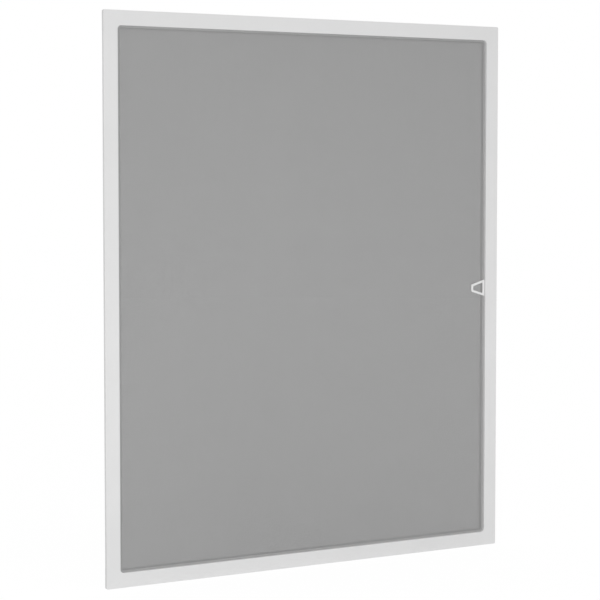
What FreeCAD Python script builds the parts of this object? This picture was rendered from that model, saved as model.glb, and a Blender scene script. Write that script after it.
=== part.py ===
"""Fixed insect-screen frame for a window.

Four hollow aluminium lengths are plugged onto four moulded corners. The mesh lies on a lip behind
the front face and is held by a spline in a groove. A pull tab is caught under one spline, and pile
seals sit in the back of the outer flange, which laps over the window.

The frame stands upright and faces -Y. The origin is the middle of the opening, in the plane of the
flange's seating face. A side's section is drawn in two directions: across, from the outer edge
inwards, and deep, from the front face backwards.
"""
import FreeCAD, Part
import math
import os
import re

import Sketcher
from FreeCAD import Placement, Rotation, Vector

SIZES = {
    "frame_width": 800,        # outside, edge to edge
    "frame_height": 1000,      # outside, edge to edge
    "face_width": 26,          # front face, from the outer edge to the recess
    "flange_width": 9,         # flange that laps over the window
    "flange_depth": 7,         # front face to the flange's seating face
    "body_depth": 11,          # front face to the back of the body
    "wall": 1.2,               # wall of the hollow section
    "edge_round": 0.6,         # rounding of the long edges
    "groove_width": 4.4,       # spline groove
    "lip_thickness": 0.8,      # lip between the groove and the opening
    "lip_recess": 5.6,         # front face to the top of the lip
    "slot_mouth": 2.6,         # seal slot, where the pile comes out
    "slot_width": 5.4,         # seal slot, inside
    "slot_height": 1.4,        # seal slot, inside
    "slot_lip": 1.0,           # lips that keep the seal in its slot
    "inner_round": 1.5,        # corner of the lip, seen from the front
    "outer_round": 2.5,        # outer corner of the frame, seen from the front
    "corner_straight": 3,      # straight end of a corner after its bend
    "core_rib": 1.2,           # ribs between the pockets in a corner's back
    "leg_length": 42,          # corner leg inside a length
    "leg_clearance": 0.15,     # around a leg's ribs
    "leg_rib_height": 0.5,     # ribs that stand out of a leg
    "leg_rib_width": 1.6,
    "leg_rib_count": 5,
    "leg_tip": 1.5,            # lead-in chamfer at a leg's end
    "mesh_sheet": 0.4,         # thickness of the mesh where it is tucked in
    "mesh_gap": 0.05,          # between the tucked mesh and the groove's walls
    "mesh_margin": 1,          # plain edge of the mesh beside the lip, and its lap under the threads
    "mesh_pitch": 3,           # from one thread's ridge to the next, or a little more
    "gap_columns": 12,         # gaps in the mesh, side by side
    "gap_rows": 10,            # gaps in the mesh, one above the other
    "gap_width": 5,
    "tie_width": 12,           # level strip of threads between two rows of gaps
    "mesh_root": 0.03,         # floor of the ridges above the sheet
    "mesh_ridge": 0.12,        # height of a thread's ridge
    "spline_gap": 0.05,        # between the spline and what it is pressed against
    "spline_proud": 0.3,       # spline in front of the lip
    "spline_bevel": 1.1,       # cut-off corners of the spline's foot
    "tab_gap": 0.3,            # between the pull tab and the recess wall
    "tab_lift": 0.5,           # between the pull tab and the spline
    "tab_thickness": 2.2,
    "tab_base": 32,            # height of the pull tab at the frame
    "tab_tip": 13.6,           # height of the pull tab at its tip
    "tab_reach": 29.6,
    "tab_stroke": 4.3,         # width of the loop's bars
    "tab_corner": 1.8,         # outer corners of the loop
    "tab_hole_corner": 1.2,    # inner corners of the loop
    "tab_edge": 0.5,           # chamfer of the loop's front and back edges
    "foot_thickness": 0.8,     # blade of the tab in the groove
    "foot_height": 24,
    "foot_reach": 3.2,         # blade behind the loop
    "foot_gap": 0.1,           # between the blade and the spline's notch
    "seal_gap": 0.1,           # around the seal's backing in its slot
    "seal_reach": 3.5,         # pile behind the seating face
    "overrun": 1,              # cuts run this far past the piece
}

# Places that several pieces share, each measured from the frame's outer edge or its front face.
LIP_IN = "(face_width + groove_width)"
LIP_OUT = "(face_width + groove_width + lip_thickness)"
BEND = "(face_width + groove_width + lip_thickness + inner_round)"
CORNER_RUN = "(face_width + groove_width + lip_thickness + inner_round + corner_straight)"
PAST_CORNER = f"{CORNER_RUN} + overrun"
GROOVE_FLOOR = "(body_depth - wall)"
SLOT_CENTRE = "flange_width / 2"
SLOT_BACK = "(flange_depth - slot_lip)"
SLOT_FRONT = "(flange_depth - slot_lip - slot_height)"
SPLINE_TOP = "(lip_recess - spline_proud)"
TUCK = "(mesh_gap + mesh_sheet + spline_gap)"
MESH_INSET = "(face_width + groove_width + lip_thickness + mesh_margin)"
TAB_BACK = f"({SPLINE_TOP} - tab_lift)"
TAB_FRONT = f"({TAB_BACK} - tab_thickness)"
TAB_ROOT = "(face_width + tab_gap)"
LEG_RIB_PITCH = "((leg_length - leg_tip) / (leg_rib_count + 1))"

DOC = FreeCAD.newDocument("ScreenFrame")
SHEET = DOC.addObject("Spreadsheet::Sheet", "Sizes")
NODES = []
SAME_PLACE = 1e-4  # edges nearer than this to a plane lie in it
HALF_CORNER = 45  # degrees: splines meet half way round a corner


def fill_sheet():
    """Put each driving size in a cell of its own, under its name."""
    for row, (name, value) in enumerate(SIZES.items(), start=1):
        SHEET.set(f"A{row}", str(value))
        SHEET.setAlias(f"A{row}", name)
    DOC.recompute()


def amount(text):
    """The present value of a formula of sizes."""
    return float(SHEET.evalExpression(text))


def bound(text):
    """The same formula, as an object outside the sheet writes it."""
    return re.sub(r"[a-z_]+", lambda word: f"Sizes.{word[0]}" if word[0] in SIZES else word[0], text)


def new_body(label):
    body = DOC.addObject("PartDesign::Body", label)
    body.Label = label
    return body


def keep(piece, quarter_turns=0, across="0", upright="0"):
    """Put a finished piece in its place and count it as one of the frame's pieces."""
    place(piece, quarter_turns, across, upright)
    NODES.append(piece)


def place(body, quarter_turns, across, upright):
    """Turn a piece about Y and put its local origin at a point of the frame's front face."""
    body.Placement = Placement(Vector(), Rotation(Vector(0, 1, 0), 90 * quarter_turns))
    for axis, text in zip("xyz", (across, "-flange_depth", upright)):
        body.setExpression(f"Placement.Base.{axis}", bound(text))


def origin_plane(body, role):
    return next(item for item in body.Origin.OriginFeatures if item.Role == role)


def new_sketch(body, name, plane, lift="0"):
    """A sketch on one of the body's origin planes, lifted along that plane's normal."""
    sketch = body.newObject("Sketcher::SketchObject", f"{body.Label}_{name}")
    sketch.AttachmentSupport = [(origin_plane(body, plane), "")]
    sketch.MapMode = "FlatFace"
    sketch.setExpression("AttachmentOffset.Base.z", bound(lift))
    return sketch


def face_sketch(body, name, deep="0"):
    """A sketch parallel to the front face, some way behind it."""
    return new_sketch(body, name, "XZ_Plane", f"-({deep})")


def set_size(sketch, constraint, text):
    index = sketch.addConstraint(constraint)
    sketch.setExpression(f"Constraints[{index}]", bound(text))


def pin_edge(sketch, line, axis, text):
    """Make an edge level or upright and hold it at its distance from the sketch's origin."""
    upright = axis == "x"
    sketch.addConstraint(Sketcher.Constraint("Vertical" if upright else "Horizontal", line))
    if text == "0":
        sketch.addConstraint(Sketcher.Constraint("PointOnObject", line, 1, -2 if upright else -1))
        return
    kind = "DistanceX" if upright else "DistanceY"
    set_size(sketch, Sketcher.Constraint(kind, -1, 1, line, 1, amount(text)), text)


def corner_arc(corner, arriving, leaving, radius):
    """The arc that rounds a right-angled corner, and whether the outline turns left there."""
    centre = corner - arriving * radius + leaving * radius
    left_turn = arriving.cross(leaving).z > 0
    first = corner - arriving * radius if left_turn else corner + leaving * radius
    start = math.atan2(first.y - centre.y, first.x - centre.x)
    circle = Part.Circle(centre, Vector(0, 0, 1), radius)
    return Part.ArcOfCircle(circle, start, start + math.pi / 2), left_turn


def draw_loop(sketch, edges, rounds=None):
    """Draw a closed outline of level and upright edges.

    edges lists, in order, ("x", place) for an upright edge and ("y", place) for a level one.
    rounds gives a radius for the corner after the edge with that number.
    """
    rounds = rounds or {}
    count = len(edges)
    corners = []
    for number in range(count):
        spots = dict((edges[number], edges[(number + 1) % count]))
        corners.append(Vector(amount(spots["x"]), amount(spots["y"]), 0))
    headings = [(corners[number] - corners[number - 1]).normalize() for number in range(count)]
    radii = [amount(rounds[number]) if number in rounds else 0 for number in range(count)]
    lines = []
    for number in range(count):
        start = corners[number - 1] + headings[number] * radii[number - 1]
        end = corners[number] - headings[number] * radii[number]
        lines.append(sketch.addGeometry(Part.LineSegment(start, end), False))
    for number, line in enumerate(lines):
        pin_edge(sketch, line, *edges[number])
    for number, line in enumerate(lines):
        after = lines[(number + 1) % count]
        if number not in rounds:
            sketch.addConstraint(Sketcher.Constraint("Coincident", line, 2, after, 1))
            continue
        leaving = headings[(number + 1) % count]
        shape, left_turn = corner_arc(corners[number], headings[number], leaving, radii[number])
        arc = sketch.addGeometry(shape, False)
        near_end, far_end = (1, 2) if left_turn else (2, 1)
        sketch.addConstraint(Sketcher.Constraint("Tangent", line, 2, arc, near_end))
        sketch.addConstraint(Sketcher.Constraint("Tangent", after, 1, arc, far_end))
        set_size(sketch, Sketcher.Constraint("Radius", arc, radii[number]), rounds[number])


def draw_polygon(sketch, points):
    """Draw a closed outline of straight edges through points given as two formulas each."""
    spots = [Vector(amount(x), amount(y), 0) for x, y in points]
    lines = [sketch.addGeometry(Part.LineSegment(spots[number - 1], spots[number]), False)
             for number in range(len(spots))]
    for number, (x, y) in enumerate(points):
        line = lines[number]
        after = lines[(number + 1) % len(lines)]
        sketch.addConstraint(Sketcher.Constraint("Coincident", line, 2, after, 1))
        set_size(sketch, Sketcher.Constraint("DistanceX", -1, 1, line, 2, spots[number].x), x)
        set_size(sketch, Sketcher.Constraint("DistanceY", -1, 1, line, 2, spots[number].y), y)


def box_loop(low_x, high_x, low_y, high_y):
    return [("y", low_y), ("x", high_x), ("y", high_y), ("x", low_x)]


def pad(body, sketch, length, backwards=False, both_ways=False):
    """Raise a sketch. Backwards is against the sketch's normal."""
    feature = body.newObject("PartDesign::Pad", f"{sketch.Name}_pad")
    feature.Profile = sketch
    feature.setExpression("Length", bound(length))
    feature.Reversed = backwards
    feature.SideType = "Symmetric" if both_ways else "One side"
    sketch.Visibility = False
    return feature


def cut(body, sketch, depth):
    """Cut a sketch into the body, against the sketch's normal, and make sure that it cuts."""
    DOC.recompute()
    before = body.Shape.Volume
    feature = body.newObject("PartDesign::Pocket", f"{sketch.Name}_cut")
    feature.Profile = sketch
    feature.setExpression("Length", bound(depth))
    DOC.recompute()
    if body.Shape.Volume >= before:
        raise RuntimeError(f"{feature.Name} cuts nothing")
    return feature


def carve(body, name, deep, depth, edges, rounds=None):
    """Cut an outline into the body from some way behind the front face, backwards."""
    sketch = face_sketch(body, name, deep)
    draw_loop(sketch, edges, rounds)
    cut(body, sketch, depth)


def dress_edges(body, kind, chosen, size):
    """Round or chamfer the edges of the body's present shape that the test chooses."""
    DOC.recompute()
    base = body.Tip
    names = [f"Edge{number}" for number, edge in enumerate(base.Shape.Edges, start=1) if chosen(edge)]
    feature = body.newObject(f"PartDesign::{kind}", f"{body.Label}_{kind}")
    feature.Base = (base, names)
    feature.setExpression("Radius" if kind == "Fillet" else "Size", bound(size))
    DOC.recompute()


def close_to(value, text):
    return abs(value - amount(text)) < SAME_PLACE


def section_outline():
    """Outline of a length's section and its rounded corners: across is x, deep is y."""
    edges = [
        ("y", "0"),
        ("x", "face_width"),
        ("y", GROOVE_FLOOR),
        ("x", LIP_IN),
        ("y", "lip_recess"),
        ("x", LIP_OUT),
        ("y", "body_depth"),
        ("x", "flange_width"),
        ("y", "flange_depth"),
        ("x", f"{SLOT_CENTRE} + slot_mouth / 2"),
        ("y", SLOT_BACK),
        ("x", f"{SLOT_CENTRE} + slot_width / 2"),
        ("y", SLOT_FRONT),
        ("x", f"{SLOT_CENTRE} - slot_width / 2"),
        ("y", SLOT_BACK),
        ("x", f"{SLOT_CENTRE} - slot_mouth / 2"),
        ("y", "flange_depth"),
        ("x", "0"),
    ]
    front_inner, back_inner, body_side, back_outer, front_outer = 0, 5, 6, 16, 17
    long_edges = (front_inner, back_inner, body_side, back_outer, front_outer)
    return edges, {number: "edge_round" for number in long_edges}


def make_length(label, quarter_turns, across, upright, outside):
    """One hollow length of the frame, between two corners."""
    body = new_body(label)
    sketch = new_sketch(body, "section", "XY_Plane")
    draw_loop(sketch, *section_outline())
    draw_loop(sketch, box_loop("flange_width + wall", "face_width - wall", "wall", GROOVE_FLOOR))
    draw_loop(sketch, box_loop("wall", "flange_width", "wall", f"{SLOT_FRONT} - wall"))
    pad(body, sketch, f"{outside} - 2 * {CORNER_RUN}", both_ways=True)
    keep(body, quarter_turns, across, upright)


def leg_loop(plane, inset):
    """A leg's section inside the hollow of a length, as drawn on one of the body's planes."""
    across = (f"flange_width + wall + {inset}", f"face_width - wall - {inset}")
    deep = (f"wall + {inset}", f"{GROOVE_FLOOR} - {inset}")
    return box_loop(*across, *deep) if plane == "XY_Plane" else box_loop(*deep, *across)


def add_leg(body, plane):
    """A leg that plugs into a length: a tongue with ribs that fill the hollow."""
    tongue = new_sketch(body, f"tongue_{plane[:2]}", plane, CORNER_RUN)
    draw_loop(tongue, leg_loop(plane, "(leg_clearance + leg_rib_height)"))
    pad(body, tongue, "leg_length")
    rib = new_sketch(body, f"rib_{plane[:2]}", plane, f"{CORNER_RUN} + {LEG_RIB_PITCH}")
    draw_loop(rib, leg_loop(plane, "leg_clearance"))
    rib_pad = pad(body, rib, "leg_rib_width")
    DOC.recompute()
    ribs = body.newObject("PartDesign::LinearPattern", f"{rib.Name}_row")
    ribs.Originals = [rib_pad]
    ribs.Direction = (rib, ["N_Axis"])
    ribs.setExpression("Length", bound(f"{LEG_RIB_PITCH} * (leg_rib_count - 1)"))
    ribs.setExpression("Occurrences", bound("leg_rib_count"))
    body.Tip = ribs
    leg_end = f"{CORNER_RUN} + leg_length"

    def at_leg_end(edge):
        box = edge.BoundBox
        start = box.ZMin if plane == "XY_Plane" else box.XMin
        return close_to(start, leg_end)

    dress_edges(body, "Chamfer", at_leg_end, "leg_tip")


def add_core_pockets(body):
    """Four square pockets in the corner's back, so that its walls are of even thickness."""
    sketch = face_sketch(body, "cores", "wall")
    near = ("flange_width + wall", "(flange_width + face_width - core_rib) / 2")
    far = ("(flange_width + face_width + core_rib) / 2", "face_width - wall")
    for across in (near, far):
        for upright in (near, far):
            draw_loop(sketch, box_loop(*across, *upright))
    cut(body, sketch, "body_depth")


def corner_block(body):
    """The section carried round the bend: flange, body, recess and groove."""
    plate = face_sketch(body, "plate")
    outline = [("y", "0"), ("x", CORNER_RUN), ("y", LIP_OUT), ("x", LIP_OUT), ("y", CORNER_RUN), ("x", "0")]
    draw_loop(plate, outline, {2: "inner_round", 5: "outer_round"})
    pad(body, plate, "body_depth", backwards=True)
    flange = [("y", "-overrun"), ("x", PAST_CORNER), ("y", "flange_width"),
              ("x", "flange_width"), ("y", PAST_CORNER), ("x", "-overrun")]
    carve(body, "step", "flange_depth", "body_depth", flange)
    opening = box_loop("face_width", PAST_CORNER, "face_width", PAST_CORNER)
    carve(body, "recess", "0", "lip_recess", opening, {3: f"{BEND} - face_width"})
    channel = [("y", "face_width"), ("x", PAST_CORNER), ("y", LIP_IN),
               ("x", LIP_IN), ("y", PAST_CORNER), ("x", "face_width")]
    carve(body, "groove", "0", GROOVE_FLOOR, channel, {2: f"{BEND} - {LIP_IN}", 5: f"{BEND} - face_width"})


def on_corner_rim(edge):
    """Whether an edge of a corner lies in its front face and not where a length begins."""
    box = edge.BoundBox
    at_joint = any(close_to(low, CORNER_RUN) for low in (box.XMin, box.ZMin))
    return close_to(box.YMin, "0") and close_to(box.YMax, "0") and not at_joint


def make_corner(label, quarter_turns, across, upright):
    """A moulded corner with a leg for each of its two lengths."""
    body = new_body(label)
    corner_block(body)
    add_core_pockets(body)
    dress_edges(body, "Fillet", on_corner_rim, "edge_round")
    for plane in ("YZ_Plane", "XY_Plane"):
        add_leg(body, plane)
    keep(body, quarter_turns, across, upright)


def make_seal(label, quarter_turns, across, upright, outside):
    """A pile seal: a backing strip that slides in the flange's slot, and its pile."""
    body = new_body(label)
    sketch = new_sketch(body, "section", "XY_Plane")
    backing, pile = "(slot_width / 2 - seal_gap)", "(slot_mouth / 2 - seal_gap)"
    draw_loop(sketch, [
        ("y", f"{SLOT_FRONT} + seal_gap"),
        ("x", f"{SLOT_CENTRE} + {backing}"),
        ("y", f"{SLOT_BACK} - seal_gap"),
        ("x", f"{SLOT_CENTRE} + {pile}"),
        ("y", "flange_depth + seal_reach"),
        ("x", f"{SLOT_CENTRE} - {pile}"),
        ("y", f"{SLOT_BACK} - seal_gap"),
        ("x", f"{SLOT_CENTRE} - {backing}"),
    ])
    pad(body, sketch, f"{outside} - 2 * {CORNER_RUN}", both_ways=True)
    keep(body, quarter_turns, across, upright)


def spline_section(sketch):
    """The spline's section: a flat front and a foot with its corners cut off."""
    near, far, back = "face_width + spline_gap", f"{LIP_IN} - {TUCK}", f"{GROOVE_FLOOR} - {TUCK}"
    heel = f"{back} - spline_bevel"
    draw_polygon(sketch, [(near, SPLINE_TOP), (far, SPLINE_TOP), (far, heel), (f"{far} - spline_bevel", back),
                          (f"{near} + spline_bevel", back), (near, heel)])


def cut_tab_notch(body):
    """Room in the spline for the pull tab's blade."""
    half = "(foot_height / 2 + foot_gap)"
    blade_side = f"{TAB_ROOT} + foot_thickness + foot_gap"
    carve(body, "notch", "0", "body_depth", box_loop("face_width - overrun", blade_side, f"-{half}", half))


def make_spline(label, quarter_turns, across, upright, outside, notched):
    """A length of spline in its groove, bent at each end to meet the next one on the diagonal."""
    body = new_body(label)
    straight = new_sketch(body, "straight", "XY_Plane")
    spline_section(straight)
    run = f"{outside} - 2 * {BEND}"
    pad(body, straight, run, both_ways=True)
    DOC.recompute()
    end = new_sketch(body, "end", "XY_Plane", f"({run}) / 2")
    foot = Vector(amount(BEND), 0, 0)
    bend_axis = end.addGeometry(Part.LineSegment(foot, foot + Vector(0, amount("body_depth"), 0)), True)
    pin_edge(end, bend_axis, "x", BEND)
    spline_section(end)
    bend = body.newObject("PartDesign::Revolution", f"{label}_bend")
    bend.Profile = end
    bend.ReferenceAxis = (end, ["Axis0"])
    bend.Angle = HALF_CORNER
    DOC.recompute()
    other_end = body.newObject("PartDesign::Mirrored", f"{label}_other_bend")
    other_end.Originals = [bend]
    other_end.MirrorPlane = (origin_plane(body, "XY_Plane"), [""])
    body.Tip = other_end
    if notched:
        cut_tab_notch(body)
    keep(body, quarter_turns, across, upright)


def make_pull_tab():
    """A flat trapezoid loop whose blade is caught between the spline and the groove's wall."""
    body = new_body("pull_tab")
    loop = face_sketch(body, "loop", TAB_FRONT)
    slope = "((tab_base - tab_tip) / 2 / tab_reach)"
    bar = f"(tab_stroke * sqrt(1 + {slope} ^ 2))"
    hole_base = f"(tab_base / 2 - tab_stroke * {slope} - {bar})"
    hole_tip = f"(tab_tip / 2 + tab_stroke * {slope} - {bar})"
    tip = f"({TAB_ROOT} + tab_reach)"
    draw_polygon(loop, [(TAB_ROOT, "-tab_base / 2"), (tip, "-tab_tip / 2"),
                        (tip, "tab_tip / 2"), (TAB_ROOT, "tab_base / 2")])
    hole_root = f"{TAB_ROOT} + tab_stroke"
    hole_end = f"{tip} - tab_stroke"
    draw_polygon(loop, [(hole_root, f"-{hole_base}"), (hole_end, f"-{hole_tip}"),
                        (hole_end, hole_tip), (hole_root, hole_base)])
    pad(body, loop, "tab_thickness", backwards=True)

    def upright_edge(edge, outside):
        box = edge.BoundBox
        through = close_to(box.YLength, "tab_thickness") and close_to(box.XLength + box.ZLength, "0")
        on_outline = any(close_to(box.XMin, text) for text in (TAB_ROOT, tip))
        return through and on_outline == outside

    dress_edges(body, "Fillet", lambda edge: upright_edge(edge, True), "tab_corner")
    dress_edges(body, "Fillet", lambda edge: upright_edge(edge, False), "tab_hole_corner")
    dress_edges(body, "Chamfer", lambda edge: close_to(edge.BoundBox.YLength, "0"), "tab_edge")
    blade = face_sketch(body, "blade", f"{TAB_FRONT} + tab_edge")
    across = (TAB_ROOT, f"{TAB_ROOT} + foot_thickness")
    draw_loop(blade, box_loop(*across, "-foot_height / 2", "foot_height / 2"))
    pad(body, blade, "tab_thickness - tab_edge + foot_reach", backwards=True)
    keep(body, 2, "frame_width / 2")


def inset_loop(sketch, inset, rounded=True):
    """A rectangle as far inside the frame's outer edge as the inset says, with or without round corners."""
    half_width = f"(frame_width / 2 - ({inset}))"
    half_height = f"(frame_height / 2 - ({inset}))"
    rounds = {number: f"{BEND} - ({inset})" for number in range(4)} if rounded else None
    draw_loop(sketch, box_loop(f"-{half_width}", half_width, f"-{half_height}", half_height), rounds)


def make_mesh_edge():
    """The mesh's plain edge: a flat band over the lip, down into the groove and across its floor."""
    body = new_body("mesh_edge")
    skirt_outside = f"{LIP_IN} - mesh_gap - mesh_sheet"
    skirt_inside = f"{LIP_IN} - mesh_gap"
    floor = f"{GROOVE_FLOOR} - mesh_gap - mesh_sheet"
    band = face_sketch(body, "band", "lip_recess - mesh_sheet")
    inset_loop(band, skirt_outside)
    inset_loop(band, f"{MESH_INSET} + mesh_margin", rounded=False)
    pad(body, band, "mesh_sheet", backwards=True)
    skirt = face_sketch(body, "skirt", "lip_recess")
    inset_loop(skirt, skirt_outside)
    inset_loop(skirt, skirt_inside)
    pad(body, skirt, f"{floor} + mesh_sheet - lip_recess", backwards=True)
    tail = face_sketch(body, "tail", floor)
    inset_loop(tail, "face_width + mesh_gap")
    inset_loop(tail, skirt_inside)
    pad(body, tail, "mesh_sheet", backwards=True)
    place(body, 0, "0", "0")
    return body


def ridged_strip(width, run):
    """A strip of threads, each a ridge as long as run, rising along +Z from the mesh's middle plane."""
    threads = int(width / amount("mesh_pitch"))
    pitch = width / threads
    valley = amount("mesh_sheet / 2 + mesh_root")
    crest = valley + amount("mesh_ridge")
    points = [Vector(-width / 2, -run / 2, 0), Vector(-width / 2, -run / 2, valley)]
    for number in range(threads):
        points.append(Vector((number + 0.5) * pitch - width / 2, -run / 2, crest))
        points.append(Vector((number + 1) * pitch - width / 2, -run / 2, valley))
    points.append(Vector(width / 2, -run / 2, 0))
    return Part.Face(Part.makePolygon(points + points[:1])).extrude(Vector(0, run, 0))


def strip_layer(name, span, run, width, gaps):
    """Strips of one width side by side across a span, with equal gaps between them."""
    strip = ridged_strip(width, run)
    layer = DOC.addObject("Part::Feature", name)
    layer.Shape = Part.makeCompound([strip.translated(Vector((span - width) * (number / gaps - 0.5), 0, 0))
                                     for number in range(gaps + 1)])
    return layer


def make_mesh():
    """The mesh: broad upright strips of threads in front of level ones, with gaps, inside a plain edge."""
    width = amount(f"frame_width - 2 * {MESH_INSET}")
    height = amount(f"frame_height - 2 * {MESH_INSET}")
    columns, rows = int(amount("gap_columns")), int(amount("gap_rows"))
    strip_width = (width - columns * amount("gap_width")) / (columns + 1)
    middle = Vector(0, amount("lip_recess - mesh_sheet / 2 - flange_depth"), 0)
    upright = strip_layer("upright_strips", width, height, strip_width, columns)
    upright.Placement = Placement(middle, Rotation(Vector(1, 0, 0), 90))
    level = strip_layer("level_strips", height, width, amount("tie_width"), rows)
    level.Placement = Placement(middle, Rotation(Vector(1, 1, 1), 240))
    mesh = DOC.addObject("Part::MultiFuse", "insect_mesh")
    mesh.Label = "insect_mesh"
    mesh.Shapes = [make_mesh_edge(), upright, level]
    mesh.Refine = False
    NODES.append(mesh)


def make_sides():
    """The four lengths with their splines and seals, each drawn as the left side and turned."""
    width, height = "frame_width", "frame_height"
    sides = [
        ("left", "left_stile", 0, f"-{width} / 2", "0", height),
        ("top", "top_rail", 1, "0", f"{height} / 2", width),
        ("right", "right_stile", 2, f"{width} / 2", "0", height),
        ("bottom", "bottom_rail", 3, "0", f"-{height} / 2", width),
    ]
    for side, label, *seat in sides:
        make_length(label, *seat)
        make_spline(f"{side}_spline", *seat, notched=side == "right")
        make_seal(f"{side}_seal", *seat)


def make_corners():
    left, right = "-frame_width / 2", "frame_width / 2"
    low, high = "-frame_height / 2", "frame_height / 2"
    make_corner("bottom_left_corner", 0, left, low)
    make_corner("top_left_corner", 1, left, high)
    make_corner("top_right_corner", 2, right, high)
    make_corner("bottom_right_corner", 3, right, low)


def check_document():
    """Stop if any object failed or any piece has no valid single solid."""
    DOC.recompute()
    failed = [item.Name for item in DOC.Objects if {"Invalid", "Error"} & set(item.State)]
    for node in NODES:
        shape = node.Shape
        if shape.isNull() or not shape.isValid() or len(shape.Solids) != 1:
            failed.append(node.Label)
    if failed:
        raise RuntimeError(f"failed: {failed}")


def write_parts():
    os.makedirs("parts", exist_ok=True)
    for node in NODES:
        node.Shape.exportStep(f"parts/{node.Label}.step")
        print(f"{node.Label:22} {node.Shape.Volume:12.1f} mm3")


fill_sheet()
make_sides()
make_corners()
make_pull_tab()
make_mesh()
check_document()
write_parts()
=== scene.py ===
"""Looks of a white window insect screen.

The coated lengths and moulded corners keep their solids and get their finish. The woven mesh, the
ribbed spline, the pull tab and the pile seals are modelled here and stand for their plain solids.
Everything is in metres, in the frame's own place: X across, Z up, the front face looks along -Y.
"""
import math

import bpy
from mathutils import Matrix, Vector


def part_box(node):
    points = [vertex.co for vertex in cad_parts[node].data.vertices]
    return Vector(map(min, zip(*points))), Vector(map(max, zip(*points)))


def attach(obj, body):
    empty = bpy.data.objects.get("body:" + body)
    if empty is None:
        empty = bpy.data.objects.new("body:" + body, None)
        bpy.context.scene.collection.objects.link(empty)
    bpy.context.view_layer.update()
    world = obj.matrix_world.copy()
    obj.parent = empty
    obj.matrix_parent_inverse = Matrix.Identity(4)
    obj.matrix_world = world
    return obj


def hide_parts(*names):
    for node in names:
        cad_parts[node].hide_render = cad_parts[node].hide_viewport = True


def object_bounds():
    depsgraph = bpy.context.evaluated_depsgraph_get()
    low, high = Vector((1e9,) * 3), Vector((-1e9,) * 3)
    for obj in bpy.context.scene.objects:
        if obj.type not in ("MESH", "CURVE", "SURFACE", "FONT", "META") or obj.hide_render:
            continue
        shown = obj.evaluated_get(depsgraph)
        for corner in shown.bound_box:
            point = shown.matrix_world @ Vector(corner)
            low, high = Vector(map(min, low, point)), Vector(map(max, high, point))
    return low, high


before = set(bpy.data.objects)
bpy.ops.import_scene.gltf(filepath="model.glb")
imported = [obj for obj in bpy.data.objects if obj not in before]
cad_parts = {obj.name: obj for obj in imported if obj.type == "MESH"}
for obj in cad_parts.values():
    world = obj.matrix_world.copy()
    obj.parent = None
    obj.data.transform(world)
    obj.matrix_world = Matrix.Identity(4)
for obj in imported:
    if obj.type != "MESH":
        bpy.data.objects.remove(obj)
CAD_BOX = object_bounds()

bl_info = {
    "name": "Window insect screen",
    "version": (1, 0, 0),
    "blender": (4, 5, 0),
    "location": "View3D > Sidebar > Insect screen",
    "description": "Finishes a screen frame and models its mesh, spline, pull tab and pile seals",
    "category": "Object",
}

MM = 0.001
QUARTER = math.pi / 2

# In the order in which quarter turns take the left side round the frame
SIDES = ("left", "top", "right", "bottom")
LENGTHS = ("left_stile", "top_rail", "right_stile", "bottom_rail")
CORNERS = ("bottom_left_corner", "top_left_corner", "top_right_corner", "bottom_right_corner")

# Points closer than this count as one place
SAME_PLACE = 1e-6
# A face looks along an axis if that part of its normal is larger than this
FACING = 0.9
# Edges that turn by more than this stay sharp in smooth shading
THREAD_CREASE = math.radians(70)
CORD_CREASE = math.radians(35)
TAB_CREASE = math.radians(40)
# Edges of the pull tab that turn by more than this are rounded
TAB_EDGE_TURN = math.radians(60)
# Rounding of a thin strip's edges, as a share of its thickness
EASE_SHARE = 0.25
EASE_STEPS = 2
# Points of the cord's front for each rib, and those of them that lie at the rib's root
RIB_POINTS = 4
ROOT_POINTS = (0, 3)
# A tuft's sides, its widths half way up and at its tip as shares of the widths below them, and
# the share of its height above which a point belongs to the tip
TUFT_SIDES = 5
TUFT_WAIST = 1 / 1.2
TUFT_TIP = 0.55
TIP_ZONE = 0.7
# Values between which most of a noise pattern lies
CLOUD_RANGE = (0.3, 0.7)
WHITE = (1, 1, 1, 1)
FLOOR_SIDES = 64
SENSOR_WIDTH = 36


def size(name, description, default):
    """A length that a user may change, kept in metres."""
    return bpy.props.FloatProperty(name=name, description=description, default=default, min=0,
                                   precision=5, unit="LENGTH", subtype="DISTANCE")


def count(name, description, default, least):
    """A whole number that a user may change."""
    return bpy.props.IntProperty(name=name, description=description, default=default, min=least)


def colour(name, description, grey, tint=0):
    """A near-grey surface colour, cooler where its tint is above nothing."""
    return bpy.props.FloatVectorProperty(name=name, description=description, subtype="COLOR", size=3,
                                         min=0, max=1, default=(grey, grey, grey + tint))


def spot(name, description, default):
    """A place that a user may change, kept in metres."""
    return bpy.props.FloatVectorProperty(name=name, description=description, default=default, size=3,
                                         unit="LENGTH", subtype="TRANSLATION")


def angle(name, description, degrees):
    """An angle that a user may change, given in degrees and kept in radians."""
    return bpy.props.FloatProperty(name=name, description=description, subtype="ANGLE",
                                   default=math.radians(degrees))


def power(name, description, watts):
    """A lamp's power that a user may change."""
    return bpy.props.FloatProperty(name=name, description=description, default=watts, min=0,
                                   unit="POWER")


class CoatSettings(bpy.types.PropertyGroup):
    """Finish of the lengths and the corners."""
    coat: colour("Coat", "Powder coat of the aluminium lengths", 0.80)
    plastic: colour("Corner plastic", "Moulded plastic of the corners", 0.80)
    peel: size("Coat texture", "Distance between the coat's small waves", 1.4 * MM)
    grain: size("Moulded grain", "Distance between the grains of the moulded corners", 0.5 * MM)


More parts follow.
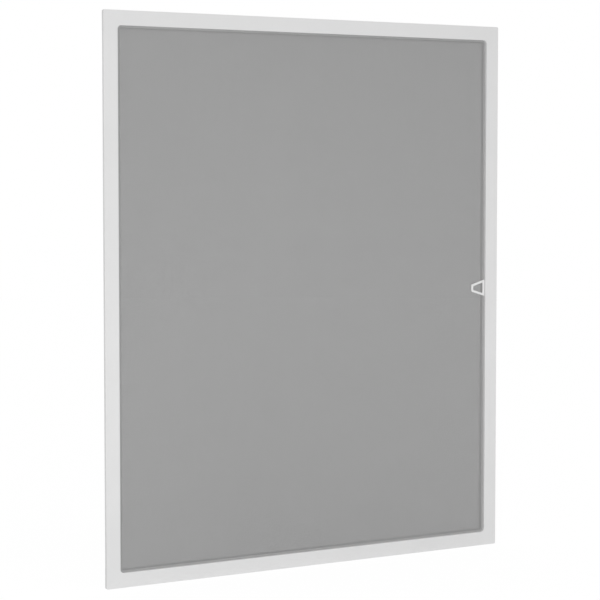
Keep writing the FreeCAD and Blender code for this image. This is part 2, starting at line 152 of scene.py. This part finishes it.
class MeshSettings(bpy.types.PropertyGroup):
    """The woven mesh."""
    pitch: size("Thread pitch", "From one thread to the next", 1.0 * MM)
    thread: size("Thread width", "Across one coated thread", 0.70 * MM)
    thickness: size("Thread thickness", "Of the oval that a thread's flat sides fit in", 0.30 * MM)
    facets: count("Thread sides", "Flat sides round a thread", 6, 3)
    layer: size("Layer offset", "From the mesh's middle to the middle of each layer", 0.06 * MM)
    lie: size("Lie", "From the spline's front to the middle of the mesh", 0.03 * MM)
    first: size("First thread", "From the frame's outer edges to the first thread along them", 31.5 * MM)
    skirt: size("Skirt", "From the frame's outer edges to the threads' turned-in ends", 30.04 * MM)
    bend: size("Bend", "Radius of a thread where it turns into the groove", 0.3 * MM)
    bend_steps: count("Bend steps", "Steps of a thread's turn into the groove", 2, 1)
    tuck: size("Tuck", "Straight stretch of a thread in the groove", 3.4 * MM)
    shade: colour("Thread", "Coating of the threads", 0.312)


class SplineSettings(bpy.types.PropertyGroup):
    """The cord that holds the mesh in its groove."""
    width: size("Width", "Across the groove", 3.85 * MM)
    bend: size("Bend centre", "From the frame's outer edges to the middle of a bend", 32.7 * MM)
    bend_steps: count("Bend steps", "Steps of each bend", 8, 2)
    ribs: count("Ribs", "Fine ribs along the cord's front", 7, 2)
    rib: size("Rib height", "From a rib's root to its crest", 0.12 * MM)
    heel: size("Heel", "Cut-off corners of the cord's foot", 1.1 * MM)
    heel_steps: count("Heel steps", "Flat steps of each cut-off corner", 2, 1)
    room: size("Notch room", "Between the pull tab's blade and the cord", 0.1 * MM)
    shade: colour("Vinyl", "Soft vinyl of the cord", 0.42)


class TabSettings(bpy.types.PropertyGroup):
    """The loop that pulls the screen out of its window."""
    base: size("Base", "Height of the loop at the frame, before its corners are rounded", 32 * MM)
    tip: size("Tip", "Height of the loop at its tip, before its corners are rounded", 13.6 * MM)
    stroke: size("Bar", "Width of the loop's bars", 4.3 * MM)
    thickness: size("Thickness", "From the loop's front to its back", 2.2 * MM)
    corner: size("Corner", "Rounding of the edges that run from the loop's front to its back", 1.6 * MM)
    corner_steps: count("Corner steps", "Steps of a corner's rounding", 5, 1)
    edge: size("Edge", "Rounding of the loop's front and back edges", 0.5 * MM)
    edge_steps: count("Edge steps", "Steps of an edge's rounding", 3, 1)
    blade: size("Blade", "Thickness of the blade in the groove", 0.8 * MM)
    blade_height: size("Blade height", "Height of the blade in the groove", 24 * MM)
    shade: colour("Tab plastic", "Moulded plastic of the loop", 0.84)


class SealSettings(bpy.types.PropertyGroup):
    """The pile seals in the back of the flange."""
    backing: size("Backing", "Thickness of the backing strip", 1.2 * MM)
    pitch: size("Tuft pitch", "From one tuft of a row to the next", 0.95 * MM)
    rows: count("Rows", "Rows of tufts", 3, 1)
    row_pitch: size("Row pitch", "From one row to the next", 0.72 * MM)
    fibre: size("Fibre", "Width of a tuft at its root", 0.5 * MM)
    scatter: size("Scatter", "How far the tips stray", 0.45 * MM)
    seed: count("Seed", "Order of the stray tips", 7, 0)
    shade: colour("Pile", "Fibres of the pile", 0.45, 0.01)
    strip: colour("Backing colour", "Woven backing strip", 0.36, 0.006)


class StageSettings(bpy.types.PropertyGroup):
    """Floor, lights and camera."""
    camera_place: spot("Camera place", "Where the camera stands", (-1.3731, -2.6971, 0.2267))
    yaw: angle("Yaw", "Camera's turn to the right of the frame's normal", 26.612)
    pitch: angle("Pitch", "Camera's tilt down", 2.916)
    lens: bpy.props.FloatProperty(
        name="Lens", description="Focal length for a sensor 36 mm wide", unit="CAMERA", default=99.533)
    shift: bpy.props.FloatProperty(
        name="Shift", description="Upright shift of the view, as a share of its width", default=-0.076)
    key_place: spot("Key light", "Where the soft key light hangs", (-1.3, -2.9, 0.06))
    key_size: size("Key size", "Side of the key light's square", 1.1)
    key_power: power("Key power", "Power of the key light", 17.7)
    fill_place: spot("Fill light", "Where the low strip light lies", (0.0, -1.3, -0.36))
    fill_width: size("Fill width", "Width of the strip light", 1.6)
    fill_height: size("Fill height", "Height of the strip light", 0.2)
    fill_power: power("Fill power", "Power of the strip light", 2.3)
    ambient: bpy.props.FloatProperty(
        name="Ambient", description="Strength of the even light from all round", default=0.642, min=0)
    floor_radius: size("Floor", "Radius of the floor", 30)
    floor_near: size("Floor shown", "How far from the frame's middle the floor shows in full", 2)
    floor_far: size("Floor gone", "Where the floor has melted into the white behind it", 20)
    floor_glow: bpy.props.FloatProperty(
        name="Floor glow", description="Share of white that the floor shows in shadow too",
        default=0.96, min=0, max=1)
    floor_shade: colour("Floor shade", "Floor colour that takes the shadow", 0.06)
    floor_bounce: colour("Floor bounce", "Floor colour that lights the frame from below", 0.92)


def begin(name, add, **where):
    """Add a primitive at its size and place as a new piece, with nothing else selected."""
    bpy.ops.object.select_all(action="DESELECT")
    add(**where)
    piece = bpy.context.object
    piece.name = name
    piece.data.name = name
    bpy.ops.object.transform_apply(location=True, rotation=True, scale=True)
    return piece


def only(*pieces):
    """Select these pieces alone. The first becomes the active one."""
    bpy.ops.object.select_all(action="DESELECT")
    for piece in pieces:
        piece.select_set(True)
    bpy.context.view_layer.objects.active = pieces[0]


def object_mode():
    """Leave edit mode."""
    bpy.ops.object.mode_set(mode="OBJECT")


def pick(piece, kind, test):
    """Go into edit mode with only the vertices, edges or faces selected that pass the test."""
    bpy.ops.object.mode_set(mode="EDIT")
    bpy.ops.mesh.select_mode(type=kind)
    bpy.ops.mesh.select_all(action="DESELECT")
    object_mode()
    parts = {"VERT": piece.data.vertices, "EDGE": piece.data.edges, "FACE": piece.data.polygons}[kind]
    for part in parts:
        part.select = test(part)
    bpy.ops.object.mode_set(mode="EDIT")


def anything(part):
    """A test that every vertex, edge and face passes."""
    return True


def ends(piece, edge):
    """Places of an edge's two points."""
    return [piece.data.vertices[index].co for index in edge.vertices]


def extrude(step):
    """Extrude what is picked by a step."""
    bpy.ops.mesh.extrude_region_move(TRANSFORM_OT_translate={"value": step})


def scale_piece(piece, factors, centre):
    """Scale a whole piece along X, Y and Z about a centre."""
    pick(piece, "VERT", anything)
    bpy.ops.transform.resize(value=factors, center_override=centre)
    object_mode()


def block(name, centre, sizes):
    """A box of these sizes round its centre."""
    piece = begin(name, bpy.ops.mesh.primitive_cube_add, size=1, location=centre)
    scale_piece(piece, sizes, centre)
    return piece


def ease(thickness):
    """Round the picked edges of a thin strip."""
    bpy.ops.mesh.bevel(offset=EASE_SHARE * thickness, segments=EASE_STEPS, affect="EDGES")
    object_mode()


def modify(piece, kind, **settings):
    """Add a modifier to a piece and apply it."""
    only(piece)
    modifier = piece.modifiers.new(kind.title(), kind)
    for name, value in settings.items():
        setattr(modifier, name, value)
    bpy.ops.object.modifier_apply(modifier=modifier.name)


def combine(piece, tool, operation):
    """Join a tool's shape to a piece or cut it out, and take the tool away."""
    modify(piece, "BOOLEAN", operation=operation, solver="EXACT", object=tool)
    bpy.data.objects.remove(tool)


def repeat(piece, number, step):
    """Copies of a piece in a row, as one mesh."""
    modify(piece, "ARRAY", count=number, use_relative_offset=False, use_constant_offset=True,
           constant_offset_displace=step)


def copy_of(piece, name):
    """A copy of a piece with its own mesh."""
    only(piece)
    bpy.ops.object.duplicate(linked=False)
    twin = bpy.context.object
    twin.name = name
    twin.data.name = name
    return twin


def turn(piece, radians):
    """Turn a whole piece about the Y axis through the frame's middle, and apply the turn."""
    only(piece)
    piece.rotation_euler = (0, radians, 0)
    bpy.ops.object.transform_apply(location=False, rotation=True, scale=False)


def close_skin(piece):
    """Merge doubled points and turn all faces outwards."""
    only(piece)
    bpy.ops.object.mode_set(mode="EDIT")
    bpy.ops.mesh.select_all(action="SELECT")
    bpy.ops.mesh.remove_doubles(threshold=SAME_PLACE)
    bpy.ops.mesh.normals_make_consistent(inside=False)
    object_mode()


def smooth(piece, crease):
    """Shade a piece smooth, apart from its edges that turn by more than the crease."""
    only(piece)
    bpy.ops.object.shade_smooth_by_angle(angle=crease)


def dress(piece, material):
    """Give a piece this material alone."""
    piece.data.materials.clear()
    piece.data.materials.append(material)


def hand_over(piece, material, slot, *nodes):
    """Give a finished piece its material, hang it under the frame's root body and hide the solids that it
    stands for.
    """
    dress(piece, material)
    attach(piece, "root")
    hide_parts(*nodes)


def new_material(name):
    """A new material, its node tree and its main shader."""
    material = bpy.data.materials.new(name)
    material.use_nodes = True
    return material, material.node_tree, material.node_tree.nodes["Principled BSDF"]


def noise(tree, spacing, detail=2.0, stretch=(1, 1, 1)):
    """Cloudy pattern on the piece's own coordinates, with its clouds about as far apart as spacing."""
    place = tree.nodes.new("ShaderNodeTexCoord")
    scale = tree.nodes.new("ShaderNodeMapping")
    scale.inputs["Scale"].default_value = stretch
    pattern = tree.nodes.new("ShaderNodeTexNoise")
    pattern.inputs["Scale"].default_value = 1 / spacing
    pattern.inputs["Detail"].default_value = detail
    tree.links.new(place.outputs["Object"], scale.inputs["Vector"])
    tree.links.new(scale.outputs["Vector"], pattern.inputs["Vector"])
    return pattern.outputs["Fac"]


def vary_colour(tree, shader, pattern, shade, spread):
    """Colour that runs from a little darker to a little lighter than its shade with the pattern."""
    ramp = tree.nodes.new("ShaderNodeValToRGB")
    for stop, position, share in zip(ramp.color_ramp.elements, CLOUD_RANGE, (1 - spread, 1 + spread)):
        stop.position = position
        stop.color = (*(min(1, part * share) for part in shade), 1)
    tree.links.new(pattern, ramp.inputs["Fac"])
    tree.links.new(ramp.outputs["Color"], shader.inputs["Base Color"])


def vary_roughness(tree, shader, pattern, low, high):
    """Roughness that runs from low to high with the pattern."""
    spread = tree.nodes.new("ShaderNodeMapRange")
    spread.inputs["To Min"].default_value = low
    spread.inputs["To Max"].default_value = high
    tree.links.new(pattern, spread.inputs["Value"])
    tree.links.new(spread.outputs["Result"], shader.inputs["Roughness"])


def emboss(tree, shader, pattern, strength, height):
    """Fine relief in which the pattern's full range counts as the height."""
    bump = tree.nodes.new("ShaderNodeBump")
    bump.inputs["Strength"].default_value = strength
    bump.inputs["Distance"].default_value = height
    tree.links.new(pattern, bump.inputs["Height"])
    tree.links.new(bump.outputs["Normal"], shader.inputs["Normal"])


def mix_shaders(tree, share, first, second):
    """The first shader where the share is 0, and the second where it is 1."""
    mix = tree.nodes.new("ShaderNodeMixShader")
    tree.links.new(share, mix.inputs["Fac"])
    tree.links.new(first, mix.inputs[1])
    tree.links.new(second, mix.inputs[2])
    return mix.outputs["Shader"]


def powder_coat(settings):
    """Satin white powder coat with the faint waves of its melt."""
    material, tree, shader = new_material("white_powder_coat")
    waves = noise(tree, spacing=settings.peel, detail=1.0)
    vary_colour(tree, shader, noise(tree, spacing=90 * MM), settings.coat, spread=0.012)
    vary_roughness(tree, shader, waves, low=0.40, high=0.50)
    emboss(tree, shader, waves, strength=0.12, height=0.05 * MM)
    shader.inputs["Specular IOR Level"].default_value = 0.4
    return material


def moulded_corner(settings):
    """White corner plastic with a fine spark-eroded grain."""
    material, tree, shader = new_material("moulded_corner_plastic")
    grain = noise(tree, spacing=settings.grain)
    vary_colour(tree, shader, noise(tree, spacing=40 * MM), settings.plastic, spread=0.012)
    vary_roughness(tree, shader, grain, low=0.46, high=0.58)
    emboss(tree, shader, grain, strength=0.15, height=0.03 * MM)
    shader.inputs["Specular IOR Level"].default_value = 0.4
    return material


def coated_thread(settings):
    """Dark vinyl-coated glass thread, uneven along its length."""
    material, tree, shader = new_material("coated_glass_thread")
    uneven = noise(tree, spacing=1.2 * MM)
    vary_colour(tree, shader, uneven, settings.shade, spread=0.12)
    vary_roughness(tree, shader, uneven, low=0.50, high=0.68)
    shader.inputs["Specular IOR Level"].default_value = 0.3
    return material


def ribbed_vinyl(settings):
    """Matt grey vinyl with a dusty bloom."""
    material, tree, shader = new_material("grey_spline_vinyl")
    bloom = noise(tree, spacing=3 * MM, detail=3.0)
    vary_colour(tree, shader, bloom, settings.shade, spread=0.05)
    vary_roughness(tree, shader, bloom, low=0.55, high=0.70)
    emboss(tree, shader, noise(tree, spacing=0.4 * MM), strength=0.15, height=0.02 * MM)
    return material


def tab_plastic(settings):
    """Smooth satin white of a small moulding, with faint flow marks."""
    material, tree, shader = new_material("white_tab_plastic")
    flow = noise(tree, spacing=6 * MM, stretch=(1, 1, 3))
    vary_colour(tree, shader, flow, settings.shade, spread=0.012)
    vary_roughness(tree, shader, flow, low=0.34, high=0.44)
    emboss(tree, shader, noise(tree, spacing=0.6 * MM), strength=0.08, height=0.02 * MM)
    return material


def pile_fibre(settings):
    """Soft grey pile, lighter and darker from tuft to tuft."""
    material, tree, shader = new_material("grey_seal_pile")
    tufts = noise(tree, spacing=1.5 * MM)
    vary_colour(tree, shader, tufts, settings.shade, spread=0.22)
    vary_roughness(tree, shader, tufts, low=0.80, high=0.95)
    shader.inputs["Sheen Weight"].default_value = 0.35
    shader.inputs["Sheen Roughness"].default_value = 0.5
    return material


def woven_backing(settings):
    """Flat woven strip that the pile is fixed to."""
    material, tree, shader = new_material("seal_backing_weave")
    weave = noise(tree, spacing=0.8 * MM, detail=1.0, stretch=(1, 1, 0.4))
    vary_colour(tree, shader, weave, settings.strip, spread=0.10)
    vary_roughness(tree, shader, weave, low=0.70, high=0.85)
    emboss(tree, shader, weave, strength=0.4, height=0.05 * MM)
    return material


def seen_directly(tree):
    """1 for rays from the camera and for those that gloss or glass sends on, otherwise 0."""
    path = tree.nodes.new("ShaderNodeLightPath")
    total = path.outputs["Is Camera Ray"]
    for name in ("Is Glossy Ray", "Is Transmission Ray"):
        either = tree.nodes.new("ShaderNodeMath")
        either.operation = "MAXIMUM"
        tree.links.new(total, either.inputs[0])
        tree.links.new(path.outputs[name], either.inputs[1])
        total = either.outputs["Value"]
    return total


def distance_fade(tree, near, far):
    """0 up to the near distance from the frame's middle, rising to 1 at the far one."""
    place = tree.nodes.new("ShaderNodeTexCoord")
    away = tree.nodes.new("ShaderNodeVectorMath")
    away.operation = "LENGTH"
    fade = tree.nodes.new("ShaderNodeMapRange")
    fade.interpolation_type = "SMOOTHSTEP"
    fade.inputs["From Min"].default_value = near
    fade.inputs["From Max"].default_value = far
    tree.links.new(place.outputs["Object"], away.inputs[0])
    tree.links.new(away.outputs["Value"], fade.inputs["Value"])
    return fade.outputs["Result"]


def pale_floor(settings):
    """Floor that shows white with a soft shadow, melts away far off and lights the frame from below."""
    material, tree, bounce = new_material("pale_floor")
    bounce.inputs["Base Color"].default_value = (*settings.floor_bounce, 1)
    bounce.inputs["Roughness"].default_value = 1
    bounce.inputs["Specular IOR Level"].default_value = 0
    shadow = tree.nodes.new("ShaderNodeBsdfDiffuse")
    shadow.inputs["Color"].default_value = (*settings.floor_shade, 1)
    glow = tree.nodes.new("ShaderNodeEmission")
    glow.inputs["Strength"].default_value = settings.floor_glow
    near = tree.nodes.new("ShaderNodeAddShader")
    gone = tree.nodes.new("ShaderNodeBsdfTransparent")
    tree.links.new(glow.outputs["Emission"], near.inputs[0])
    tree.links.new(shadow.outputs["BSDF"], near.inputs[1])
    fade = distance_fade(tree, settings.floor_near, settings.floor_far)
    shown = mix_shaders(tree, fade, near.outputs["Shader"], gone.outputs["BSDF"])
    surface = mix_shaders(tree, seen_directly(tree), bounce.outputs["BSDF"], shown)
    tree.links.new(surface, tree.nodes["Material Output"].inputs["Surface"])
    return material


class COAT_OT_frame(bpy.types.Operator):
    """Give the aluminium lengths their coat and the corners their moulded plastic"""
    bl_idname = "insect_screen.coat_frame"
    bl_label = "Coat the frame"

    def execute(self, context):
        settings = context.scene.screen_coat
        coat, plastic = powder_coat(settings), moulded_corner(settings)
        for nodes, material in ((LENGTHS, coat), (CORNERS, plastic)):
            for node in nodes:
                dress(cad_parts[node], material)
        return {"FINISHED"}


def thread_row(name, settings, span, run, middle):
    """Upright threads side by side over a span, each turned into the groove at both ends."""
    gaps = round(span / settings.pitch)
    foot = Vector((-span / 2, middle, 0))
    straight = run / 2 - settings.bend
    thread = begin(name, bpy.ops.mesh.primitive_cylinder_add, vertices=settings.facets,
                   radius=settings.thread / 2, depth=2 * straight, location=foot,
                   rotation=(0, 0, QUARTER))
    scale_piece(thread, (1, settings.thickness / settings.thread, 1), foot)
    for end in (1, -1):
        pick(thread, "FACE", lambda face: face.normal.z * end > FACING and face.center.z * end > 0)
        bpy.ops.mesh.spin(steps=settings.bend_steps, angle=end * QUARTER, axis=(1, 0, 0),
                          center=(foot.x, middle + settings.bend, end * straight))
        extrude((0, settings.tuck, 0))
        object_mode()
    close_skin(thread)
    smooth(thread, THREAD_CREASE)
    repeat(thread, gaps + 1, (span / gaps, 0, 0))
    return thread


class MESH_OT_weave(bpy.types.Operator):
    """Weave the mesh of upright and level threads, tucked into the groove all round"""
    bl_idname = "insect_screen.weave_mesh"
    bl_label = "Weave the mesh"

    def execute(self, context):
        settings = context.scene.screen_mesh
        outer = CAD_BOX[1] - CAD_BOX[0]
        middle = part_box("left_spline")[0].y + settings.lie
        width, height = (extent - 2 * settings.first for extent in (outer.x, outer.z))
        run_across, run_up = (extent - 2 * settings.skirt for extent in (outer.x, outer.z))
        weave = thread_row("insect_mesh_weave", settings, width, run_up, middle - settings.layer)
        level = thread_row("level_threads", settings, height, run_across, middle + settings.layer)
        turn(level, QUARTER)
        only(weave, level)
        bpy.ops.object.join()
        hand_over(weave, coated_thread(settings), "mesh_thread", "insect_mesh")
        return {"FINISHED"}


def cord_section(name, settings, middle, depth):
    """Outline of the cord's section: a ribbed flat front and a foot with its corners cut off."""
    ring = begin(name, bpy.ops.mesh.primitive_plane_add, size=1, location=middle)
    scale_piece(ring, (settings.width, depth, 1), middle)
    pick(ring, "VERT", lambda point: point.co.y > middle.y)
    bpy.ops.mesh.bevel(offset=settings.heel, offset_type="OFFSET", segments=settings.heel_steps,
                       affect="VERTICES")
    object_mode()
    pick(ring, "EDGE", lambda edge: all(end.y < middle.y for end in ends(ring, edge)))
    bpy.ops.mesh.subdivide(number_cuts=RIB_POINTS * settings.ribs - 1)
    object_mode()
    step = settings.width / (RIB_POINTS * settings.ribs)
    front = middle.y - depth / 2

    def at_root(point):
        number = round((point.co.x - middle.x + settings.width / 2) / step)
        return point.co.y < front + step and number % RIB_POINTS in ROOT_POINTS

    pick(ring, "VERT", at_root)
    bpy.ops.transform.translate(value=(0, settings.rib, 0))
    bpy.ops.mesh.select_all(action="SELECT")
    bpy.ops.mesh.delete(type="ONLY_FACE")
    object_mode()
    return ring


def lay_cord(name, settings, run, middle, depth, bend_centre):
    """An upright length of cord: a straight run with an eighth of a turn at each end."""
    foot = Vector((middle.x, middle.y, -run / 2))
    cord = cord_section(name, settings, foot, depth)
    pick(cord, "EDGE", anything)
    extrude((0, 0, run))
    object_mode()
    for end in (1, -1):
        level = end * run / 2
        pick(cord, "EDGE", lambda edge: all(abs(point.z - level) < SAME_PLACE
                                            for point in ends(cord, edge)))
        bpy.ops.mesh.spin(steps=settings.bend_steps, angle=-end * QUARTER / 2, axis=(0, 1, 0),
                          center=(bend_centre, middle.y, level))
        bpy.ops.mesh.edge_face_add()
        object_mode()
    close_skin(cord)
    smooth(cord, CORD_CREASE)
    return cord


class SPLINE_OT_lay(bpy.types.Operator):
    """Lay the four lengths of ribbed spline in the groove"""
    bl_idname = "insect_screen.lay_splines"
    bl_label = "Lay the splines"

    def execute(self, context):
        settings = context.scene.screen_spline
        vinyl = ribbed_vinyl(settings)
        low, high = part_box("left_spline")
        near = low.x - CAD_BOX[0].x
        half_width, half_height = CAD_BOX[1].x, CAD_BOX[1].z
        for number, side in enumerate(SIDES):
            upright = side in ("left", "right")
            across, half = (half_width, half_height) if upright else (half_height, half_width)
            middle = Vector((near + settings.width / 2 - across, (low.y + high.y) / 2, 0))
            cord = lay_cord(f"{side}_spline_cord", settings, 2 * (half - settings.bend), middle,
                            high.y - low.y, settings.bend - across)
            turn(cord, number * QUARTER)
            if side == "right":
                self.make_room(cord, settings, context.scene.screen_tab)
            hand_over(cord, vinyl, "spline_vinyl", f"{side}_spline")
        return {"FINISHED"}

    def make_room(self, cord, settings, tab):
        """Notch the cord where the pull tab's blade passes it."""
        low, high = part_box("right_spline")
        half = tab.blade_height / 2 + settings.room
        blade_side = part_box("pull_tab")[1].x - tab.blade - settings.room
        notch_low = Vector((blade_side, low.y - settings.width, -half))
        notch_high = Vector((high.x + settings.width, high.y + settings.width, half))
        cutter = block("cutter", (notch_low + notch_high) / 2, notch_high - notch_low)
        combine(cord, cutter, "DIFFERENCE")


class TAB_OT_mould(bpy.types.Operator):
    """Mould the pull tab: a tapered loop with a blade that the spline holds"""
    bl_idname = "insect_screen.mould_tab"
    bl_label = "Mould the pull tab"

    def execute(self, context):
        settings = context.scene.screen_tab
        low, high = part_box("pull_tab")
        middle = Vector(((low.x + high.x) / 2, low.y + settings.thickness, 0))
        loop = begin("pull_tab_loop", bpy.ops.mesh.primitive_plane_add, size=1, location=middle,
                     rotation=(QUARTER, 0, 0))
        scale_piece(loop, (high.x - low.x, 1, settings.base), middle)
        pick(loop, "VERT", lambda point: point.co.x < middle.x)
        bpy.ops.transform.resize(value=(1, 1, settings.tip / settings.base), center_override=middle)
        object_mode()
        pick(loop, "FACE", anything)
        bpy.ops.mesh.inset(thickness=settings.stroke, use_even_offset=True)
        bpy.ops.mesh.delete(type="ONLY_FACE")
        bpy.ops.mesh.select_all(action="SELECT")
        extrude((0, -settings.thickness, 0))
        object_mode()
        close_skin(loop)
        self.round_corners(loop, settings)
        self.add_blade(loop, settings, low, high)
        smooth(loop, TAB_CREASE)
        hand_over(loop, tab_plastic(settings), "tab_plastic", "pull_tab")
        return {"FINISHED"}

    def round_corners(self, loop, settings):
        """Round the eight edges from front to back, then all edges of the front and the back."""
        def through(edge):
            first, second = ends(loop, edge)
            return abs(abs(first.y - second.y) - settings.thickness) < SAME_PLACE

        pick(loop, "EDGE", through)
        bpy.ops.mesh.bevel(offset=settings.corner, offset_type="OFFSET", affect="EDGES",
                           segments=settings.corner_steps, clamp_overlap=True)
        object_mode()
        modify(loop, "BEVEL", width=settings.edge, segments=settings.edge_steps, limit_method="ANGLE",
               angle_limit=TAB_EDGE_TURN, use_clamp_overlap=True)

    def add_blade(self, loop, settings, low, high):
        """Join the blade that stands behind the loop's root."""
        front = low.y + settings.edge
        centre = Vector((high.x - settings.blade / 2, (front + high.y) / 2, 0))
        blade = block("blade", centre, (settings.blade, high.y - front, settings.blade_height))
        pick(blade, "EDGE", lambda edge: all(end.y > centre.y for end in ends(blade, edge)))
        ease(settings.blade)
        combine(loop, blade, "UNION")


def pile_strip(name, settings, low, high):
    """Rows of tufts on an upright strip, from its backing to the back of the seal's solid."""
    root = low.y + settings.backing
    reach = high.y - root
    tufts = int((high.z - low.z) / settings.pitch)
    start = Vector(((low.x + high.x) / 2 - (settings.rows - 1) * settings.row_pitch / 2,
                    root + reach / 4,
                    -(tufts - 1) * settings.pitch / 2))
    tuft = begin(name, bpy.ops.mesh.primitive_cone_add, vertices=TUFT_SIDES,
                 radius1=settings.fibre / 2, radius2=TUFT_WAIST * settings.fibre / 2,
                 depth=reach / 2, location=start, rotation=(-QUARTER, 0, 0))
    pick(tuft, "FACE", lambda face: face.normal.y > FACING)
    extrude((0, reach / 2 - settings.scatter / 2, 0))
    bpy.ops.transform.resize(value=(TUFT_TIP, 1, TUFT_TIP), center_override=(start.x, high.y, start.z))
    object_mode()
    repeat(tuft, settings.rows, (settings.row_pitch, 0, 0))
    repeat(tuft, tufts, (0, 0, settings.pitch))
    pick(tuft, "VERT", lambda point: point.co.y > root + TIP_ZONE * reach)
    bpy.ops.transform.vertex_random(offset=settings.scatter, uniform=1.0, seed=settings.seed)
    object_mode()
    return tuft


def backing_strip(name, settings, low, high):
    """The upright strip under the pile, with its long edges eased."""
    centre = Vector(((low.x + high.x) / 2, low.y + settings.backing / 2, (low.z + high.z) / 2))
    strip = block(name, centre, (high.x - low.x, settings.backing, high.z - low.z))

    def along(edge):
        first, second = ends(strip, edge)
        return abs(first.z - second.z) > SAME_PLACE

    pick(strip, "EDGE", along)
    ease(settings.backing)
    return strip


class SEAL_OT_plant(bpy.types.Operator):
    """Plant the pile seals in the back of the flange"""
    bl_idname = "insect_screen.plant_seals"
    bl_label = "Plant the pile seals"

    def execute(self, context):
        settings = context.scene.screen_seal
        finishes = (pile_fibre(settings), woven_backing(settings))
        for first, second in (("left", "right"), ("top", "bottom")):
            pair = self.make_pair(settings, first)
            twins = [copy_of(piece, piece.name.replace(first, second)) for piece in pair]
            for twin in twins:
                turn(twin, math.pi)
            for side, pieces in ((first, pair), (second, twins)):
                for piece, finish in zip(pieces, finishes):
                    hand_over(piece, finish, "seal_pile", f"{side}_seal")
        return {"FINISHED"}

    def make_pair(self, settings, side):
        """Pile and backing of the left or top seal, made upright on the left and turned to their side."""
        low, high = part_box(f"{side}_seal")
        if side == "top":
            low, high = Vector((-high.z, low.y, low.x)), Vector((-low.z, high.y, high.x))
        pair = (pile_strip(f"{side}_seal_pile", settings, low, high),
                backing_strip(f"{side}_seal_backing", settings, low, high))
        for piece in pair:
            turn(piece, SIDES.index(side) * QUARTER)
        return pair


class STAGE_OT_set(bpy.types.Operator):
    """Set the floor, the soft lights and the camera"""
    bl_idname = "insect_screen.set_stage"
    bl_label = "Set the stage"

    def execute(self, context):
        settings = context.scene.screen_stage
        context.scene.view_settings.view_transform = "Standard"
        self.lay_floor(settings)
        self.light_world(context, settings)
        self.hang_lamps(context, settings)
        self.place_camera(context, settings)
        return {"FINISHED"}

    def lay_floor(self, settings):
        """A round floor under the frame."""
        floor = begin("floor", bpy.ops.mesh.primitive_circle_add, vertices=FLOOR_SIDES,
                      radius=settings.floor_radius, fill_type="NGON", location=(0, 0, CAD_BOX[0].z))
        dress(floor, pale_floor(settings))

    def light_world(self, context, settings):
        """Even light from all round, seen as plain white."""
        world = bpy.data.worlds.new("studio")
        world.use_nodes = True
        context.scene.world = world
        tree = world.node_tree
        light = tree.nodes["Background"]
        light.inputs["Color"].default_value = WHITE
        light.inputs["Strength"].default_value = settings.ambient
        white = tree.nodes.new("ShaderNodeBackground")
        white.inputs["Color"].default_value = WHITE
        white.inputs["Strength"].default_value = 1
        surface = mix_shaders(tree, seen_directly(tree), light.outputs["Background"],
                              white.outputs["Background"])
        tree.links.new(surface, tree.nodes["World Output"].inputs["Surface"])

    def hang_lamps(self, context, settings):
        """A large soft key light in front of the frame, and a low strip that evens out its foot."""
        foot = Vector((0, 0, CAD_BOX[0].z))
        self.hang_lamp(context, "key", settings.key_place, Vector(), settings.key_size,
                       settings.key_size, settings.key_power)
        self.hang_lamp(context, "fill", settings.fill_place, foot, settings.fill_width,
                       settings.fill_height, settings.fill_power)

    def hang_lamp(self, context, name, place, target, width, height, watts):
        """A soft rectangular lamp that looks at a target and isn't seen itself."""
        lamp = bpy.data.lights.new(name, "AREA")
        lamp.shape = "RECTANGLE"
        lamp.size = width
        lamp.size_y = height
        lamp.energy = watts
        lantern = bpy.data.objects.new(name, lamp)
        lantern.location = place
        lantern.rotation_euler = (target - Vector(place)).to_track_quat("-Z", "Y").to_euler()
        lantern.visible_camera = False
        context.scene.collection.objects.link(lantern)

    def place_camera(self, context, settings):
        """The camera at the photograph's viewing angle."""
        lens = bpy.data.cameras.new("camera")
        lens.sensor_width = SENSOR_WIDTH
        lens.lens = settings.lens
        lens.shift_y = settings.shift
        camera = bpy.data.objects.new("camera", lens)
        camera.location = settings.camera_place
        camera.rotation_euler = (QUARTER - settings.pitch, 0, -settings.yaw)
        context.scene.collection.objects.link(camera)
        context.scene.camera = camera


OPERATORS = (COAT_OT_frame, MESH_OT_weave, SPLINE_OT_lay, TAB_OT_mould, SEAL_OT_plant, STAGE_OT_set)
# In the order of the operators that use them
SETTINGS = {
    "screen_coat": CoatSettings,
    "screen_mesh": MeshSettings,
    "screen_spline": SplineSettings,
    "screen_tab": TabSettings,
    "screen_seal": SealSettings,
    "screen_stage": StageSettings,
}


class VIEW3D_PT_insect_screen(bpy.types.Panel):
    """Steps and sizes of the insect screen"""
    bl_label = "Insect screen"
    bl_space_type = "VIEW_3D"
    bl_region_type = "UI"
    bl_category = "Insect screen"

    def draw(self, context):
        for operator, name in zip(OPERATORS, SETTINGS):
            box = self.layout.box()
            box.operator(operator.bl_idname)
            group = getattr(context.scene, name)
            for setting in group.bl_rna.properties.keys():
                if setting not in ("rna_type", "name"):
                    box.prop(group, setting)


CLASSES = (*SETTINGS.values(), *OPERATORS, VIEW3D_PT_insect_screen)


def register():
    for item in CLASSES:
        bpy.utils.register_class(item)
    for name, group in SETTINGS.items():
        setattr(bpy.types.Scene, name, bpy.props.PointerProperty(type=group))


def unregister():
    for name in SETTINGS:
        delattr(bpy.types.Scene, name)
    for item in reversed(CLASSES):
        bpy.utils.unregister_class(item)


def main():
    register()
    bpy.ops.insect_screen.coat_frame()
    bpy.ops.insect_screen.weave_mesh()
    bpy.ops.insect_screen.lay_splines()
    bpy.ops.insect_screen.mould_tab()
    bpy.ops.insect_screen.plant_seals()
    bpy.ops.insect_screen.set_stage()


if __name__ == "__main__":
    main()
